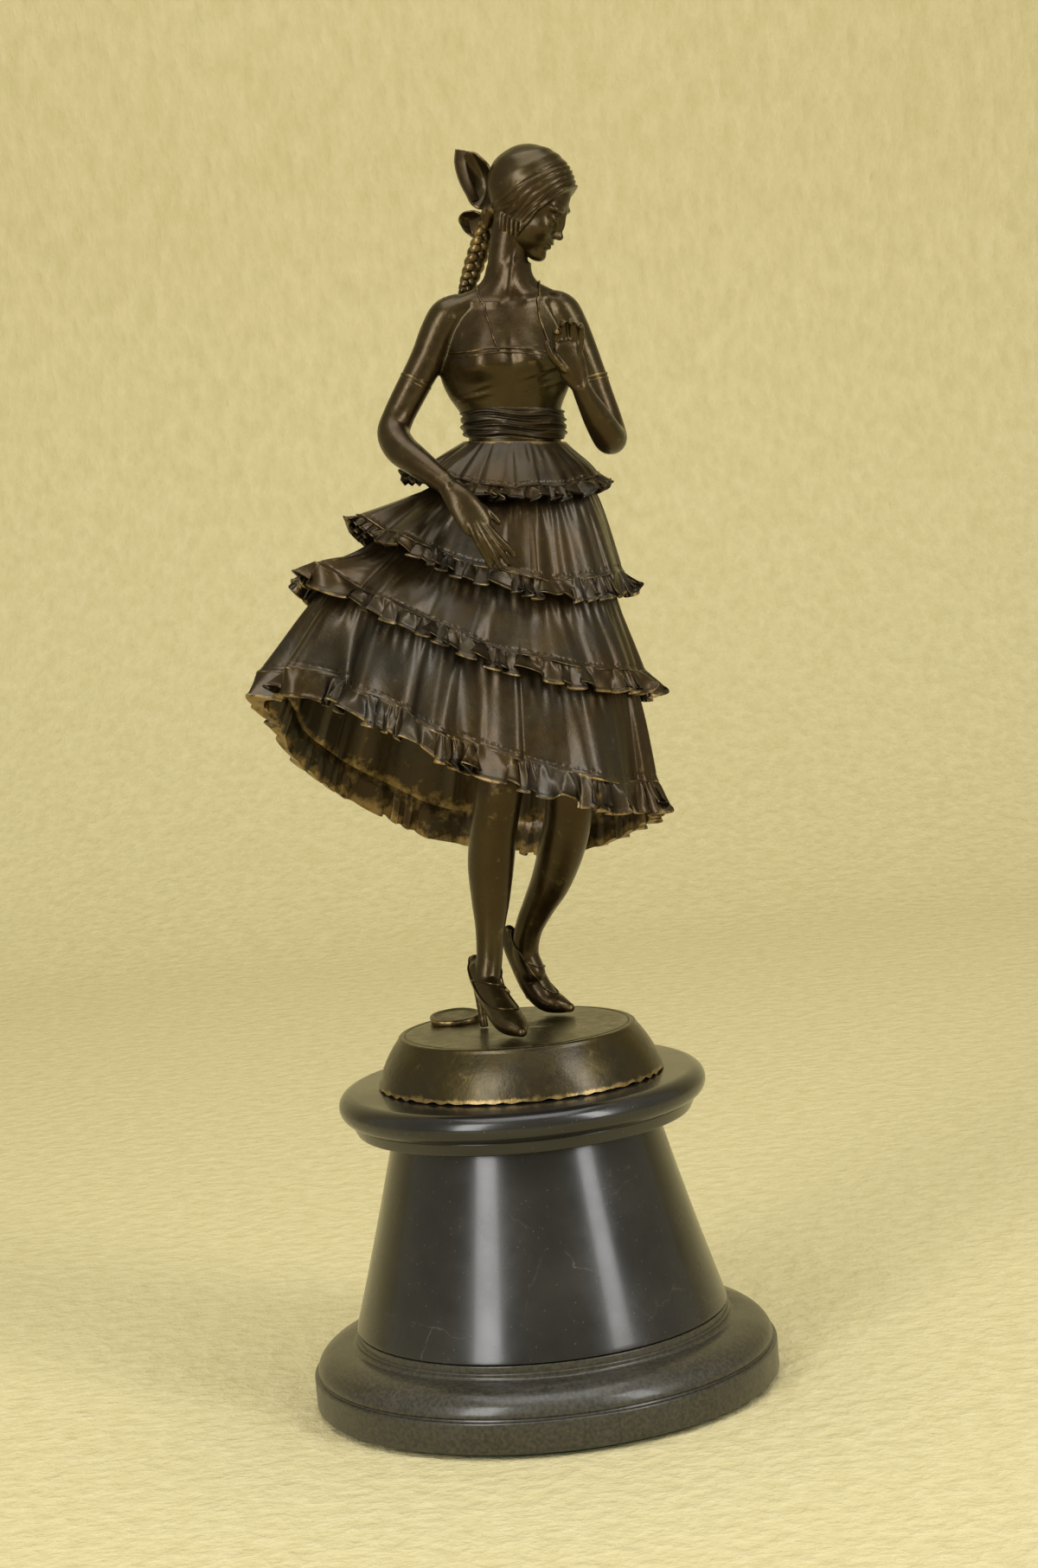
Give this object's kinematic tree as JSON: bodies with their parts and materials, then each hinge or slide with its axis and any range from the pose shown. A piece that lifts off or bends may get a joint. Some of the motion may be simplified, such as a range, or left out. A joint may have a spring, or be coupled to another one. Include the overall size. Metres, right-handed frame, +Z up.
{
  "type": "souvenir figurine",
  "caption": "Bronze figurine of a dancer in a tiered ruffled dress, standing on an oval plinth and a turned black marble base.",
  "frame": {"origin": "centre of the felt pad's underside, on the axis of the turned base", "axes": "+Z up along the base's axis, -Y out of the figure's chest, +X to the figure's left"},
  "size_m": [0.14, 0.14, 0.3697],
  "materials": {
    "bronze": "brown patinated bronze, waxed, semi-gloss",
    "black_marble": "polished black marble with pale flecks and hairline veins",
    "steel": "zinc plated",
    "felt": "green felt"
  },
  "bodies": {
    "root": {"plinth": "bronze", "medallion": "bronze", "leg_right": "bronze", "leg_left": "bronze", "torso": "bronze", "forearm_right": "bronze", "forearm_left": "bronze", "head": "bronze", "hair_bow_large": "bronze", "hair_bow_small": "bronze", "braid": "bronze", "sash": "bronze", "peplum": "bronze", "peplum_frill": "bronze", "upper_flounce": "bronze", "upper_frill": "bronze", "middle_flounce": "bronze", "middle_frill": "bronze", "lower_flounce": "bronze", "lower_frill": "bronze", "marble_foot": "black_marble", "marble_drum": "black_marble", "marble_collar": "black_marble", "tie_rod": "steel", "tie_nut": "steel", "tie_washer": "steel", "felt_pad": "felt"}
  },
  "joints": []
}
